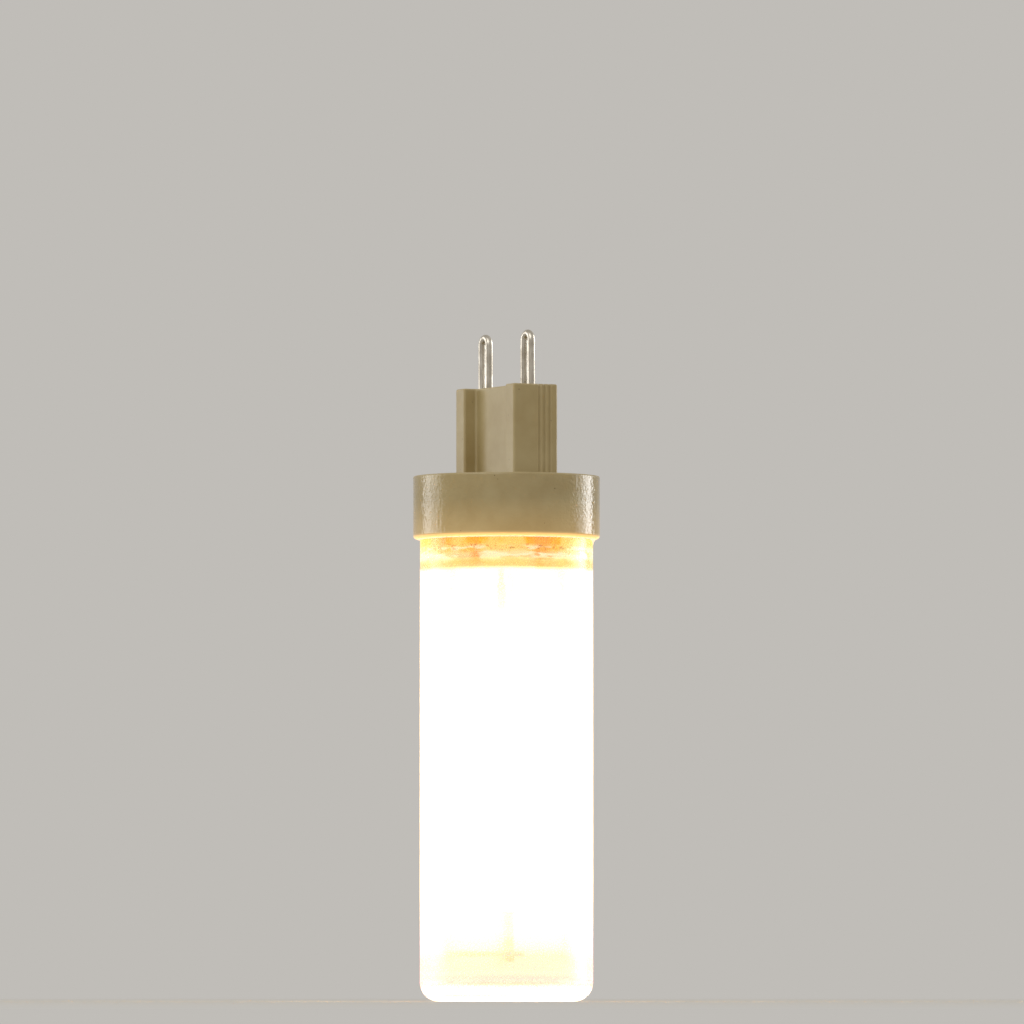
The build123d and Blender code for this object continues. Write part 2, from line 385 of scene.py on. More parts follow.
def stack(outline_at, levels):
    """Joins outlines at rising (height, inset) levels into a closed body."""
    bm = bmesh.new()
    loops = [[bm.verts.new((x, y, height)) for x, y in outline_at(inset)] for height, inset in levels]
    for lower, upper in zip(loops, loops[1:]):
        for place in range(len(lower)):
            bm.faces.new([lower[place - 1], lower[place], upper[place], upper[place - 1]])
    bm.faces.new(loops[0])
    bm.faces.new(loops[-1])
    bmesh.ops.recalc_face_normals(bm, faces=bm.faces)
    return bm


foot = [(height, outset - FOOT_FILLET) for outset, height in arc((0, FOOT_FILLET), FOOT_FILLET, -90, 0)]
tip = [(height, -draw) for draw, height in arc((-TIP_ROUND, tongue_length - TIP_ROUND), TIP_ROUND, 0, 90)]
tongue = stack(tongue_outline, [(-FOOT_SUNK, -FOOT_FILLET), *foot, *tip])
print(f"tongue of {len(tongue.faces)} faces, {tongue_length:.1f} mm tall")

# %% [markdown]
# The two bodies overlap a little at the tongue's foot. A Boolean with the exact solver welds them into
# one skin and then drills the four bores for the wire, with a small flare where the glaze rounds each
# mouth. It works on throw-away objects, and only the resulting mesh is kept. The solver may leave two
# points a hair apart where edges cross, so we merge those, or the mesh would hold faces with no area.

# %% Weld and drill
LOOP_PITCH = 9.0
LEG_SPACING = 1.5
ANCHOR_DEPTH = 2.8
BORE_RADIUS = 0.425
MOUTH_FLARE = 0.14
OVERCUT = 0.2
BORE_STEPS = 32
MERGE_GAP = 0.001
outer_leg = (LOOP_PITCH + LEG_SPACING) / 2
inner_leg = (LOOP_PITCH - LEG_SPACING) / 2


def combine(first, second, operation):
    """Welds or cuts two closed meshes and gives back the result."""
    blanks = []
    for bm in (first, second):
        blank = bpy.data.objects.new("blank", bpy.data.meshes.new("blank"))
        bm.to_mesh(blank.data)
        bm.free()
        bpy.context.collection.objects.link(blank)
        blanks.append(blank)
    tool = blanks[0].modifiers.new("tool", "BOOLEAN")
    tool.operation = operation
    tool.solver = "EXACT"
    tool.object = blanks[1]
    result = bmesh.new()
    result.from_object(blanks[0], bpy.context.evaluated_depsgraph_get())
    for blank in blanks:
        bpy.data.meshes.remove(blank.data)
    return result


def bore(place, foot_height):
    """A drill for one bore of the tongue, with a flared mouth."""
    section = [
        (0, foot_height),
        (BORE_RADIUS, foot_height),
        (BORE_RADIUS, tongue_length - MOUTH_FLARE),
        (BORE_RADIUS + MOUTH_FLARE + OVERCUT, tongue_length + OVERCUT),
        (0, tongue_length + OVERCUT),
    ]
    return turn(lambda angle: section, (place, 0), BORE_STEPS)


base = combine(turn(lambda angle: collar_section), tongue, "UNION")
for side in (-1, 1):
    base = combine(base, bore(side * outer_leg, tongue_length - ANCHOR_DEPTH), "DIFFERENCE")
    base = combine(base, bore(side * inner_leg, groove_floor - OVERCUT), "DIFFERENCE")
bmesh.ops.remove_doubles(base, verts=base.verts, dist=MERGE_GAP)
add_piece("ceramic_body", base, ceramic, "glazed_cream_ceramic", "ceramic_base")

# %% [markdown]
# ## Finish: frosted glass with a lamp inside
# Through the frost the bulb is a white column. Its light thins out to amber at the top, where the board
# and the cement stand behind the wall, and to cream at the closed end, past the last of the filaments.
# Tracing all that light through rough glass would take far too many samples. So the wall lets some light
# through, which shows what is behind it, and glows by itself for the rest. How it glows depends on the
# depth below the seat, so one ramp runs down the whole bulb, and it holds painted shade: dimmer amber
# where the board and the cement stand behind the wall, and dimmer cream at the closed end. Noise makes
# that ramp wander, and four masks lay painted light and shade over it for what cement does to the light:
# amber where it is packed thick, pale where it is thin, creamy clouds of brighter light and dark flecks of
# shade. The glass's tint also changes with depth, as painted light for the colour of the light at the band
# and the closed end. All four masks are noise round the ring, so the bulb looks alike from every side.

# %% Lit frosted glass
glass_low, glass_high = (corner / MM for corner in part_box("glass_capsule"))
glass_radius = glass_high.x
glass_end = glass_low.z
GLASS_WALL = 1.0
CORE_GLOW = 1.8
GLOW_BY_DEPTH = (
    (6.0, (0.72, 0.30, 0.0)),
    (7.0, (0.74, 0.27, 0.0)),
    (7.14, (0.80, 0.46, 0.14)),
    (7.28, (0.70, 0.33, 0.03)),
    (7.7, (0.66, 0.36, 0.07)),
    (8.1, (0.64, 0.49, 0.26)),
    (8.5, (0.52, 0.32, 0.16)),
    (8.9, (0.46, 0.22, 0.05)),
    (9.3, (0.46, 0.22, 0.14)),
    (9.6, (0.95, 0.72, 0.52)),
    (12.0, (1.40, 1.00, 0.64)),
    (14.0, (1.80, 1.26, 0.72)),
    (41.5, (1.80, 1.26, 0.72)),
    (44.5, (1.10, 0.80, 0.52)),
    (46.3, (0.90, 0.51, 0.50)),
    (47.2, (0.84, 0.46, 0.48)),
    (47.7, (0.81, 0.43, 0.44)),
    (48.0, (0.81, 0.38, 0.37)),
    (48.4, (0.80, 0.35, 0.33)),
    (49.2, (0.78, 0.33, 0.31)),
    (49.5, (0.78, 0.36, 0.32)),
    (49.75, (0.79, 0.41, 0.37)),
    (50.15, (0.78, 0.42, 0.39)),
    (50.4, (0.76, 0.33, 0.39)),
    (50.75, (0.80, 0.04, 0.12)),
    (51.0, (0.84, 0.06, 0.04)),
    (51.3, (1.10, 0.90, 0.75)),
)
THICK_BY_DEPTH = (
    (6.0, (0.50, 0.26, 0.06)),
    (7.7, (0.48, 0.18, 0.03)),
    (8.2, (0.44, 0.10, 0.0)),
    (9.3, (0.46, 0.16, 0.03)),
)
THIN_BY_DEPTH = (
    (7.0, (0.64, 0.44, 0.11)),
    (7.6, (0.64, 0.46, 0.15)),
    (8.0, (0.62, 0.54, 0.30)),
    (8.5, (0.52, 0.39, 0.18)),
    (8.9, (0.46, 0.26, 0.07)),
)
# painted light and shade in the glow: brighter clouds and dark flecks where cement stands behind the wall
CLOUD_LIGHT = (0.74, 0.66, 0.46)
FLECK_SHADE = (0.10, 0.02, 0.0)
THICK_REACH = ((6.0, 1.0), (9.2, 1.0), (9.5, 0.0))
THIN_REACH = ((6.0, 1.0), (9.0, 1.0), (9.4, 0.0))
CLOUD_REACH = ((7.15, 0.0), (7.4, 0.8), (8.3, 1.0), (8.7, 0.1), (9.4, 0.0))
FLECK_REACH = ((7.05, 0.0), (7.2, 1.0), (7.5, 0.8), (8.0, 0.0))
RAGGED_SIZE = 2.2
RAGGED_SHIFT = 0.4
BED_SHAPE = (0.3, 0.3, 0.1)
CLOUD_SHAPE = (0.35, 0.35, 1.5)
FLECK_SHAPE = (3.0, 3.0, 5.0)
NOISE_MIDDLE = 0.5
FROST_SIZE = 0.2
FROST_DEPTH = 0.0006
GLASS_PASSES = 0.92
GLASS_IOR = 1.46
FROST_TINT = colour(250, 243, 228)
# painted light: the glass is one colour, and these tints by depth stand for the colour of the light at the
# band and the closed end
BAND_LIGHT_TINT = colour(250, 222, 172)
END_LIGHT_TINT = colour(250, 238, 210)
CORNER_LIGHT_TINT = colour(250, 208, 184)
LIGHT_TINT_BY_DEPTH = (
    (9.4, BAND_LIGHT_TINT),
    (9.7, FROST_TINT),
    (45.5, FROST_TINT),
    (47.0, END_LIGHT_TINT),
    (49.7, END_LIGHT_TINT),
    (50.0, CORNER_LIGHT_TINT),
    (50.6, CORNER_LIGHT_TINT),
    (51.2, FROST_TINT),
)


def frosted_glass():
    """Frosted glass that is lit from inside, by its depth below the seat."""
    finish, tree, shader = new_finish("lit_frosted_glass")
    where = millimetres(tree)
    height = height_of(tree, where)
    ragged = calculate(tree, "SUBTRACT", grain(tree, where, RAGGED_SIZE), NOISE_MIDDLE)
    wandering = calculate(tree, "MULTIPLY_ADD", ragged, RAGGED_SHIFT, height)
    level = calculate(tree, "DIVIDE", wandering, glass_end)

    def by_depth(stops):
        return ramp(tree, level, *[(-place / glass_end, value) for place, value in stops])

    def light(shade):
        return (*[part / CORE_GLOW for part in shade], 1)

    def lit(stops):
        return by_depth([(place, light(shade)) for place, shade in stops])

    def blotted(under, over, blot, reach):
        share = calculate(tree, "MULTIPLY", blot, by_depth(reach))
        return add_node(tree, "Mix", {0: share, 6: under, 7: over}, data_type="RGBA").outputs[2]

    def stretched(shape):
        drawn = add_node(tree, "VectorMath", {0: where, 1: shape}, operation="MULTIPLY").outputs[0]
        return grain(tree, drawn, 1.0, detail=2.0)

    bed = stretched(BED_SHAPE)
    thick = ramp(tree, bed, (0.38, 1.0), (0.5, 0.0))
    thin = ramp(tree, bed, (0.52, 0.0), (0.6, 1.0))
    clouds = ramp(tree, stretched(CLOUD_SHAPE), (0.47, 0.0), (0.54, 1.0))
    flecks = ramp(tree, stretched(FLECK_SHAPE), (0.58, 0.0), (0.62, 1.0))
    glow = blotted(lit(GLOW_BY_DEPTH), lit(THICK_BY_DEPTH), thick, THICK_REACH)
    glow = blotted(glow, lit(THIN_BY_DEPTH), thin, THIN_REACH)
    glow = blotted(glow, light(CLOUD_LIGHT), clouds, CLOUD_REACH)
    glow = blotted(glow, light(FLECK_SHADE), flecks, FLECK_REACH)
    tree.links.new(glow, shader.inputs["Emission Color"])
    side = calculate(tree, "GREATER_THAN", radius_of(tree, where), glass_radius - GLASS_WALL / 2)
    end = calculate(tree, "LESS_THAN", height, glass_end + GLASS_WALL / 2)
    outer_skin = calculate(tree, "MAXIMUM", side, end)
    tree.links.new(calculate(tree, "MULTIPLY", outer_skin, CORE_GLOW), shader.inputs["Emission Strength"])

    frost = grain(tree, where, FROST_SIZE)
    tree.links.new(ramp(tree, frost, (0.3, 0.2), (0.7, 0.3)), shader.inputs["Roughness"])
    # painted light: the glass's tint follows the colour of the light by depth
    tree.links.new(by_depth(LIGHT_TINT_BY_DEPTH), shader.inputs["Base Color"])
    shader.inputs["Transmission Weight"].default_value = GLASS_PASSES
    shader.inputs["IOR"].default_value = GLASS_IOR
    emboss(tree, shader, frost, FROST_DEPTH)
    return finish


glass = frosted_glass()
print(f"finish {glass.name}, {2 * glass_radius:.1f} mm across")

# %% [markdown]
# ## Piece: the glass capsule
# The capsule is a blown tube with a flat closed end. Turned from its section it needs only four arcs:
# the outer corner, the fire-polished rim, which makes two, and the corner inside.

# %% Glass capsule
GLASS_END_WALL = 1.4
GLASS_CORNER = 1.9
BORE_CORNER = 0.9
bore_radius = glass_radius - GLASS_WALL
rim_round = GLASS_WALL / 2
glass_floor = glass_end + GLASS_END_WALL

capsule_section = [
    (0, glass_end),
    *arc((glass_radius - GLASS_CORNER, glass_end + GLASS_CORNER), GLASS_CORNER, -90, 0),
    *arc((glass_radius - rim_round, glass_high.z - rim_round), rim_round, 0, 180),
    *arc((bore_radius - BORE_CORNER, glass_floor + BORE_CORNER), BORE_CORNER, 0, -90),
    (0, glass_floor),
]
add_piece("frosted_capsule", turn(lambda angle: capsule_section), glass, "frosted_glass", "glass_capsule")

# %% [markdown]
# ## Finish and piece: the cement
# Cement is packed wet round the glass and sets with pits, grains and an uneven foot. Colour alone would
# look printed on, so the section changes with the angle: noise moves the foot up and down, and eats
# hollows into the face that is pressed against the glass. A hair's gap keeps the two skins apart.
# Outside, a thin bead has squeezed out at the collar's mouth. In two places it has run a little way down
# the glass, and it is lit from behind, so it has a painted glow, an emission, as the rim does.

# %% Cement
CEMENT_PALE = colour(206, 188, 148)
CEMENT_DARK = colour(140, 112, 70)
SAND_SIZE = 0.35
SAND_DEPTH = 0.05
SKIN_GAP = 0.02
BEAD_DROP = 0.08
DRIPS = ((62, 0.5), (205, 0.3))
DRIP_HALF_WIDTH = 9.0
BEAD_GLOW = 1.1
BEAD_DIM = 0.6
BEAD_BELLY_OUT = 0.25
BEAD_BELLY_UP = 0.5
BEAD_LIGHT = (1.0, 0.74, 0.56, 1)
FOOT_WANDER = 0.45
HOLLOW_DEPTH = 0.07
FACE_RINGS = 10
CEMENT_STEPS = 240
WANDER_SIZE = 1.6
HOLLOW_SIZE = 0.7


def gritty_cement():
    """Sandy cement with grains and pits, and a painted glow on the bead outside the glass."""
    finish, tree, shader = new_finish("gritty_cement")
    where = millimetres(tree)
    sand = grain(tree, where, SAND_SIZE, detail=6.0, roughness=0.7)
    tone = ramp(tree, sand, (0.35, CEMENT_DARK), (0.6, CEMENT_PALE))
    tree.links.new(tone, shader.inputs["Base Color"])
    tree.links.new(ramp(tree, sand, (0.3, 0.95), (0.7, 0.75)), shader.inputs["Roughness"])
    emboss(tree, shader, sand, SAND_DEPTH)
    # painted glow: the bead below the collar and outside the glass is given emission for the light behind
    # it
    below = calculate(tree, "LESS_THAN", height_of(tree, where), SKIN_GAP - COLLAR_HEIGHT)
    outside = calculate(tree, "GREATER_THAN", radius_of(tree, where), glass_radius)
    glowing_bead = calculate(tree, "MULTIPLY", below, outside)
    uneven = ramp(tree, sand, (0.3, BEAD_DIM * BEAD_GLOW), (0.6, BEAD_GLOW))
    glow = calculate(tree, "MULTIPLY", glowing_bead, uneven)
    tree.links.new(glow, shader.inputs["Emission Strength"])
    shader.inputs["Emission Color"].default_value = BEAD_LIGHT
    return finish


def wander(angle, distance, height, size):
    """Smooth noise, from -1 to 1, at a place on the ring."""
    spot = Vector((distance * math.cos(angle), distance * math.sin(angle), height))
    return noise.noise(spot / size)


def drip(angle):
    """How far the bead at the collar's mouth has run down the glass at this angle."""
    offsets = [((math.degrees(angle) - bearing) / DRIP_HALF_WIDTH, drop) for bearing, drop in DRIPS]
    return BEAD_DROP + sum(drop * math.exp(-offset * offset) for offset, drop in offsets)


def cement_section(angle):
    """The U section of the cement, with its feet and hollows at this angle."""
    bead_foot = -COLLAR_HEIGHT - drip(angle)
    bead_edge = collar_radius - COLLAR_RIM_ROUND - SKIN_GAP
    inner_foot = cement_low.z + FOOT_WANDER * wander(angle, bore_radius, 0, WANDER_SIZE)
    top = glass_high.z + SKIN_GAP
    face = []
    for ring in range(FACE_RINGS + 1):
        height = top + (inner_foot - top) * ring / FACE_RINGS
        hollow = HOLLOW_DEPTH * max(0.0, wander(angle, bore_radius, height, HOLLOW_SIZE))
        face.append((bore_radius - SKIN_GAP - hollow, height))
    skin = glass_radius + SKIN_GAP
    belly = skin + BEAD_BELLY_OUT * (bead_edge - skin)
    belly_height = bead_foot + BEAD_BELLY_UP * (-COLLAR_HEIGHT - bead_foot)
    return [
        (bead_edge, -COLLAR_HEIGHT - SKIN_GAP),
        (socket_radius - SKIN_GAP, -COLLAR_HEIGHT - SKIN_GAP),
        (socket_radius - SKIN_GAP, groove_floor - SKIN_GAP),
        (SPIGOT_RADIUS + SKIN_GAP, groove_floor - SKIN_GAP),
        (SPIGOT_RADIUS + SKIN_GAP, inner_foot),
        *reversed(face),
        (skin, top),
        (skin, bead_foot),
        (belly, belly_height),
    ]


cement = gritty_cement()
add_piece("cement_bed", turn(cement_section, steps=CEMENT_STEPS), cement, "cement", "cement_ring")

# %% [markdown]
# ## Finish and pieces: the wire loops
# Each contact is one length of plated wire, bent over on itself. A Bezier curve with a round bevel is
# wire in Blender's own terms: four handles make the half circle of the bend, and the legs stay straight.
# Plated wire is drawn through a die, so its gloss runs in fine streaks along its length.

# %% Plated wire
WIRE_BRIGHT = colour(214, 208, 196)
WIRE_DULL = colour(168, 158, 142)
STREAK_STRETCH = (1.0, 1.0, 0.06)
STREAK_SIZE = 0.12
STREAK_DEPTH = 0.006
TARNISH_SIZE = 1.8


def plated_wire():
    """Nickel plate with drawing streaks and a breath of tarnish."""
    finish, tree, shader = new_finish("plated_metal")
    where = millimetres(tree)
    along = add_node(tree, "VectorMath", {0: where, 1: STREAK_STRETCH}, operation="MULTIPLY").outputs[0]
    streaks = grain(tree, along, STREAK_SIZE)
    tarnish = grain(tree, where, TARNISH_SIZE)
    tree.links.new(ramp(tree, tarnish, (0.35, WIRE_BRIGHT), (0.7, WIRE_DULL)), shader.inputs["Base Color"])
    tree.links.new(ramp(tree, streaks, (0.3, 0.2), (0.7, 0.42)), shader.inputs["Roughness"])
    shader.inputs["Metallic"].default_value = 1.0
    emboss(tree, shader, streaks, STREAK_DEPTH)
    return finish


metal = plated_wire()
print(f"finish {metal.name}")

# %% Wire loops
WIRE_RADIUS = 0.375
CURVE_STEPS = 24
ROUND_STEPS = 8
QUARTER_HANDLE = 0.5523
loop_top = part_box("pin_loop_right")[1].z / MM
board_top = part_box("driver_board")[1].z / MM


def wire_loop(name, side, node):
    """A loop of round wire, with a short leg outside and a long leg inside down to the board."""
    bend = LEG_SPACING / 2
    crest = loop_top - WIRE_RADIUS
    short, long = side * outer_leg, side * inner_leg
    spots = [
        (short, tongue_length - ANCHOR_DEPTH),
        (short, crest - bend),
        (side * LOOP_PITCH / 2, crest),
        (long, crest - bend),
        (long, board_top),
    ]
    pull = bend * QUARTER_HANDLE
    arms = [(0, pull), (0, pull), (-side * pull, 0), (0, -pull), (0, -pull)]
    line = bpy.data.curves.new(name, "CURVE")
    line.dimensions = "3D"
    line.resolution_u = CURVE_STEPS
    line.bevel_depth = WIRE_RADIUS * MM
    line.bevel_resolution = ROUND_STEPS
    line.use_fill_caps = True
    spline = line.splines.new("BEZIER")
    spline.bezier_points.add(len(spots) - 1)
    for point, (x, z), (along, rise) in zip(spline.bezier_points, spots, arms):
        point.handle_left_type = "FREE"
        point.handle_right_type = "FREE"
        point.co = Vector((x, 0, z)) * MM
        point.handle_left = Vector((x - along, 0, z - rise)) * MM
        point.handle_right = Vector((x + along, 0, z + rise)) * MM
    line.materials.append(metal)
    made = bpy.data.objects.new(name, line)
    bpy.context.collection.objects.link(made)
    fit_piece(made, "plated_wire", node)
    print(f"{name}: wire {2 * WIRE_RADIUS} mm, in place of {node}")


wire_loop("left_contact", -1, "pin_loop_left")
wire_loop("right_contact", 1, "pin_loop_right")

# %% [markdown]
# ## Finish: the filaments' phosphor
# Each filament is a strip of tiny chips under a coat of orange phosphor in clear rubber. Lit, it is the
# brightest thing in the bulb, and the frost turns it into the white column that we see.

# %% Phosphor
PHOSPHOR_GLOW = 12.0
PHOSPHOR_LIGHT = (1.0, 0.66, 0.28, 1)
PHOSPHOR_DEEP = colour(246, 176, 60)
PHOSPHOR_PALE = colour(255, 206, 104)
BARE_STRIP = colour(206, 186, 138)
LIT_SPAN = ((14.6, 0.12), (15.4, 1.0), (43.0, 1.0), (43.6, 0.04))
COAT_END = 43.75
COAT_GRAIN = 0.25
COAT_DEPTH = 0.02
COAT_ROUGHNESS = 0.45


def phosphor():
    """Orange phosphor with a grainy coat, glowing, and the bare ceramic strip below it."""
    finish, tree, shader = new_finish("lit_phosphor")
    where = millimetres(tree)
    coat = grain(tree, where, COAT_GRAIN)
    level = calculate(tree, "DIVIDE", height_of(tree, where), glass_end)
    tone = ramp(tree, coat, (0.3, PHOSPHOR_DEEP), (0.7, PHOSPHOR_PALE))
    bare = calculate(tree, "GREATER_THAN", level, -COAT_END / glass_end)
    mixed = add_node(tree, "Mix", {0: bare, 6: tone, 7: BARE_STRIP}, data_type="RGBA")
    tree.links.new(mixed.outputs[2], shader.inputs["Base Color"])
    lit = ramp(tree, level, *[(-place / glass_end, glow) for place, glow in LIT_SPAN])
    glow = calculate(tree, "MULTIPLY", ramp(tree, coat, (0.3, 0.8), (0.7, 1.0)), lit)
    tree.links.new(calculate(tree, "MULTIPLY", glow, PHOSPHOR_GLOW), shader.inputs["Emission Strength"])
    shader.inputs["Emission Color"].default_value = PHOSPHOR_LIGHT
    shader.inputs["Roughness"].default_value = COAT_ROUGHNESS
    emboss(tree, shader, coat, COAT_DEPTH)
    return finish


filaments = [name for name in nodes if name.startswith("filament_")]
dress(phosphor(), *filaments)

# %% [markdown]
# ## Finishes: metal fittings, board and driver
# Terminals, posts and strips inside are cut from nickel iron, browned where they were welded. The board is
# white, with the weave of its glass cloth just showing. Its parts are black moulding or tan ceramic with
# tinned ends. Their solids have the ends in one mesh with the body, so a mask finds them: a point further
# from the part's middle than the body reaches is tin. That needs no second material slot.

# %% Metal fittings
ALLOY_PALE = colour(228, 214, 118)
ALLOY_DARK = colour(204, 186, 88)
HEAT_SIZE = 1.1
ROLL_SIZE = 0.1
ROLL_DEPTH = 0.006


def stamped_alloy():
    """Nickel iron strip, browned by heat, with the marks of the roll that it came from."""
    finish, tree, shader = new_finish("stamped_alloy")
    where = millimetres(tree)
    heat = grain(tree, where, HEAT_SIZE)
    rolled = grain(tree, where, ROLL_SIZE)
    tree.links.new(ramp(tree, heat, (0.35, ALLOY_DARK), (0.65, ALLOY_PALE)), shader.inputs["Base Color"])
    tree.links.new(ramp(tree, rolled, (0.3, 0.35), (0.7, 0.55)), shader.inputs["Roughness"])
    shader.inputs["Metallic"].default_value = 1.0
    emboss(tree, shader, rolled, ROLL_DEPTH)
    return finish


fittings = ("upper_terminal", "lower_terminal", "lead_post", "bridge_strip")
dress(stamped_alloy(), *[name for name in nodes if name.startswith(fittings)])

# %% Board
WEAVE_SIZE = 0.4
WEAVE_DEPTH = 0.01
MASK_CLOUD = 2.0
MASK_DULL = colour(226, 222, 208)
MASK_WHITE = colour(240, 237, 226)


def white_board():
    """White solder mask over woven glass cloth."""
    finish, tree, shader = new_finish("white_board")
    where = millimetres(tree)
    weave = add_node(tree, "TexChecker", {"Vector": where, "Scale": 1 / WEAVE_SIZE}).outputs["Fac"]
    cloud = grain(tree, where, MASK_CLOUD)
    tone = ramp(tree, cloud, (0.3, MASK_DULL), (0.7, MASK_WHITE))
    tree.links.new(tone, shader.inputs["Base Color"])
    tree.links.new(ramp(tree, cloud, (0.3, 0.35), (0.7, 0.5)), shader.inputs["Roughness"])
    emboss(tree, shader, weave, WEAVE_DEPTH)
    return finish


dress(white_board(), "driver_board")

# %% Driver parts
BLACK_MOULDING = (colour(24, 24, 26), colour(44, 44, 46))
TAN_CERAMIC = (colour(150, 116, 82), colour(176, 142, 104))
TIN = colour(206, 204, 198)
BODY_GRAIN = 0.2
BODY_DEPTH = 0.01
DRIVER_PARTS = (
    ("bridge_rectifier", BLACK_MOULDING, 0, 1.8),
    ("driver_chip", BLACK_MOULDING, 90, 0.8),
    ("smoothing_capacitor", TAN_CERAMIC, 180, 1.2),
    ("fuse_resistor", BLACK_MOULDING, 125, 0.6),
    ("sense_resistor", BLACK_MOULDING, 235, 0.6),
)


def tinned_part(node, shades, bearing, body_reach):
    """A block with a fine grain between two shades, which turns to tin past its body's reach."""
    finish, tree, shader = new_finish(f"{node}_finish")
    where = millimetres(tree)
    low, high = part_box(node)
    along = Vector((math.cos(math.radians(bearing)), math.sin(math.radians(bearing)), 0))
    inputs = {0: where, 1: (low + high) / 2 / MM}
    offset = add_node(tree, "VectorMath", inputs, operation="SUBTRACT").outputs[0]
    reach = add_node(tree, "VectorMath", {0: offset, 1: along}, operation="DOT_PRODUCT").outputs["Value"]
    tinned = calculate(tree, "GREATER_THAN", calculate(tree, "ABSOLUTE", reach), body_reach)
    speckle = grain(tree, where, BODY_GRAIN, detail=5.0)
    body = ramp(tree, speckle, (0.35, shades[0]), (0.65, shades[1]))
    mixed = add_node(tree, "Mix", {0: tinned, 6: body, 7: TIN}, data_type="RGBA")
    tree.links.new(mixed.outputs[2], shader.inputs["Base Color"])
    tree.links.new(tinned, shader.inputs["Metallic"])
    tree.links.new(ramp(tree, speckle, (0.3, 0.4), (0.7, 0.6)), shader.inputs["Roughness"])
    emboss(tree, shader, speckle, BODY_DEPTH)
    return finish


for node, shades, bearing, body_reach in DRIVER_PARTS:
    dress(tinned_part(node, shades, bearing, body_reach), node)

# %% [markdown]
# ## Piece: the solder joints
# Where a wire meets the board, molten solder wets both and climbs the wire in a hollow cone. One quarter
# of a circle, whose centre lies outside the cone, is that hollow flank, and the lathe turns it about the
# wire's own axis. Four joints hold the posts below the board and two hold the loops above it. They are
# small and alike, so they share one mesh.

# %% Solder joints
SOLDER_REACH = 0.4
POST_RADIUS = 0.25
SOLDER_STEPS = 36
CRAZE_SIZE = 0.3
CRAZE_DEPTH = 0.02


def bright_solder():
    """Solder that has set with a faintly crazed skin."""
    finish, tree, shader = new_finish("bright_solder")
    where = millimetres(tree)
    skin = grain(tree, where, CRAZE_SIZE)
    tree.links.new(ramp(tree, skin, (0.3, TIN), (0.7, WIRE_DULL)), shader.inputs["Base Color"])
    tree.links.new(ramp(tree, skin, (0.3, 0.18), (0.7, 0.4)), shader.inputs["Roughness"])
    shader.inputs["Metallic"].default_value = 1.0
    emboss(tree, shader, skin, CRAZE_DEPTH)
    return finish


def solder_joint(joints, centre, wire_radius, board_face, upward):
    """Adds one cone of solder round a wire, on the upper or lower face of the board."""
    skin = wire_radius + SKIN_GAP
    foot = board_face + upward * SKIN_GAP
    hub = (skin + SOLDER_REACH, foot + upward * SOLDER_REACH)
    flank = arc(hub, SOLDER_REACH, -90 * upward, -180 * upward)
    cone = turn(lambda angle: [(skin, foot), *flank], centre, SOLDER_STEPS)
    mesh = bpy.data.meshes.new("solder_cone")
    cone.to_mesh(mesh)
    cone.free()
    joints.from_mesh(mesh)
    bpy.data.meshes.remove(mesh)


board_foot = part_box("driver_board")[0].z / MM
joints = bmesh.new()
for side in (-1, 1):
    solder_joint(joints, (side * inner_leg, 0), WIRE_RADIUS, board_top, 1)
for name in [name for name in nodes if name.startswith("lead_post")]:
    post = sum(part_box(name), Vector()) / 2 / MM
    solder_joint(joints, (post.x, post.y), POST_RADIUS, board_foot, -1)
add_piece("solder_joints", joints, bright_solder(), "plated_wire")

# %% [markdown]
# ## Stage: a round pale sweep
# A floor that curves up into a wall has no horizon line. This one curves up all the way round, so the
# bulb has the same plain background from every side. Near the bulb the paper takes light and shadow as
# it should. Further out, where lamps would leave uneven patches, the Light Path node swaps it for one
# even tone, but only where we look at it, straight, in a gloss or through glass.

# %% Floor sweep
FLOOR_RADIUS = 1250
SWEEP_RADIUS = 750
FLOOR_TONE = colour(197, 194, 188)
FLOOR_ROUGHNESS = 0.9
BACKDROP_TONE = colour(192, 189, 184)
BLEND_START = 0.05
BLEND_END = 0.45


def seen_directly(tree):
    """One for rays from the camera, from gloss and through glass, and nought for the rest."""
    path = add_node(tree, "LightPath", {})
    looks = [path.outputs[name] for name in ("Is Camera Ray", "Is Glossy Ray", "Is Transmission Ray")]
    return calculate(tree, "MAXIMUM", calculate(tree, "MAXIMUM", looks[0], looks[1]), looks[2])


def floor_finish():
    """Matt paper near the bulb, which takes its shadow, and one even tone further out."""
    finish, tree, shader = new_finish("pale_paper")
    where = add_node(tree, "TexCoord", {}).outputs["Object"]
    distance = add_node(tree, "VectorMath", {0: where}, operation="LENGTH").outputs["Value"]
    far = ramp(tree, distance, (BLEND_START, 0.0), (BLEND_END, 1.0))
    shader.inputs["Base Color"].default_value = FLOOR_TONE
    shader.inputs["Roughness"].default_value = FLOOR_ROUGHNESS
    shader.inputs["Specular IOR Level"].default_value = 0.0
    even = add_node(tree, "Emission", {"Color": BACKDROP_TONE}).outputs[0]
    share = calculate(tree, "MULTIPLY", far, seen_directly(tree))
    mixed = add_node(tree, "MixShader", {0: share, 1: shader.outputs[0], 2: even})
    tree.links.new(mixed.outputs[0], tree.nodes["Material Output"].inputs["Surface"])
    return finish


